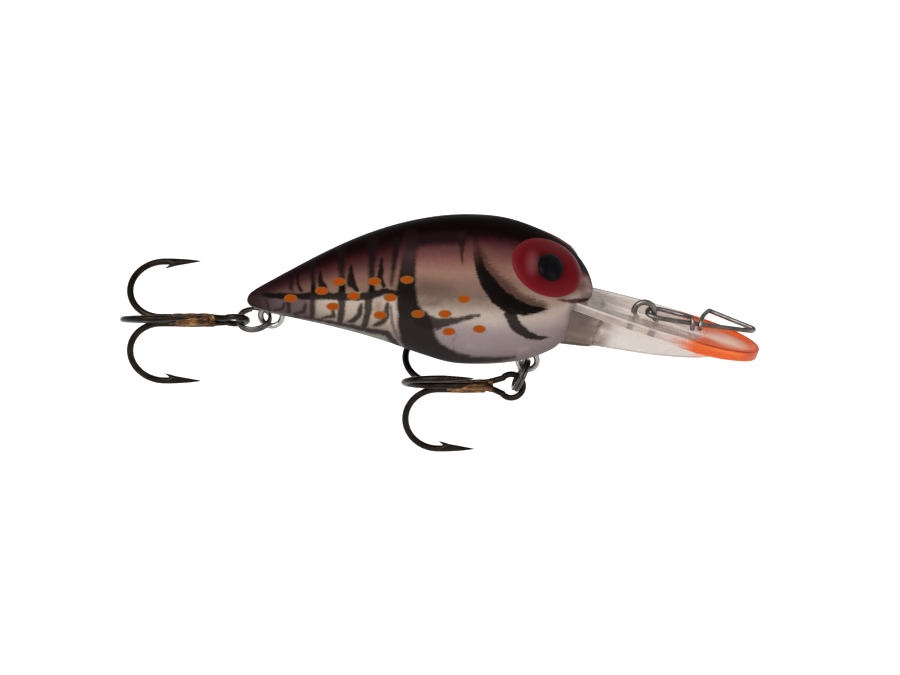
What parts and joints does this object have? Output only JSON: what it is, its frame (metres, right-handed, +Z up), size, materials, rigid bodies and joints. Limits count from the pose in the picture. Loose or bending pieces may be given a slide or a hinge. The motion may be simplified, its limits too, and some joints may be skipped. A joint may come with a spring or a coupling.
{
  "type": "crankbait fishing lure",
  "caption": "Small deep-bodied crankbait with a long clear diving lip, treble hooks on split rings at belly and tail, and a wire snap hooked into the line tie.",
  "frame": {"origin": "centre of the line tie's eye, on the lure's plane of symmetry", "axes": "+X forward past the diving lip, +Y to the lure's left, +Z up through its back"},
  "size_m": [0.0943, 0.0208, 0.0373],
  "materials": {
    "painted_body": "translucent plastic with a satin-gloss sprayed crayfish pattern, near-black maroon back to pearl pink belly",
    "clear_lip": "clear moulded plastic with an orange sprayed tip",
    "fitting_wire": "drawn stainless wire",
    "ballast": "plain cast weight",
    "eye_red": "glossy translucent dark red",
    "pupil_black": "glossy black dome",
    "ball_steel": "bearing ball",
    "ring_nickel": "black nickel plate",
    "hook_bronze": "dark bronze lacquer on hardened wire",
    "braze": "bronze braze with uneven lacquer over it",
    "snap_steel": "stainless spring wire"
  },
  "bodies": {
    "lure": {"shell_right": "painted_body", "shell_left": "painted_body", "diving_lip": "clear_lip", "line_tie": "fitting_wire", "belly_hanger": "fitting_wire", "tail_hanger": "fitting_wire", "ballast_weight": "ballast", "eye_right": "eye_red", "eye_left": "eye_red", "pupil_right": "pupil_black", "pupil_left": "pupil_black"},
    "belly_ring": {"belly_split_ring": "ring_nickel"},
    "belly_treble": {"belly_double_hook": "hook_bronze", "belly_single_hook": "hook_bronze", "belly_braze": "braze"},
    "tail_ring": {"tail_split_ring": "ring_nickel"},
    "tail_treble": {"tail_double_hook": "hook_bronze", "tail_single_hook": "hook_bronze", "tail_braze": "braze"},
    "snap": {"duo_snap": "snap_steel"},
    "rattle_right": {"rattle_ball_right": "ball_steel"},
    "rattle_left": {"rattle_ball_left": "ball_steel"}
  },
  "joints": [
    {"name": "belly_ring_swing", "type": "hinge", "parent": "lure", "child": "belly_ring", "pos_m": [-0.0172, 0, -0.00755], "axis": [0, 1, 0], "range_deg": [-45, 3]},
    {"name": "belly_treble_swing", "type": "hinge", "parent": "belly_ring", "child": "belly_treble", "pos_m": [-0.01915, 0, -0.01193], "axis": [0, 1, 0], "range_deg": [-75, 3]},
    {"name": "tail_ring_swing", "type": "hinge", "parent": "lure", "child": "tail_ring", "pos_m": [-0.0554, 0, -0.00085], "axis": [-0.0368, 0.9063, 0.421], "range_deg": [-60, 8]},
    {"name": "tail_treble_swing", "type": "hinge", "parent": "tail_ring", "child": "tail_treble", "pos_m": [-0.06018, 0, -0.00127], "axis": [-0.0368, 0.9063, 0.421], "range_deg": [-75, 45]},
    {"name": "snap_swing", "type": "hinge", "parent": "lure", "child": "snap", "pos_m": [0.0005, 0, 0.00005], "axis": [0, 1, 0], "range_deg": [-140, 0]},
    {"name": "rattle_right_slide", "type": "slide", "parent": "lure", "child": "rattle_right", "axis": [1, 0, 0], "range_m": [-0.0015, 0.0015]},
    {"name": "rattle_left_slide", "type": "slide", "parent": "lure", "child": "rattle_left", "axis": [1, 0, 0], "range_m": [-0.0015, 0.0015]}
  ]
}
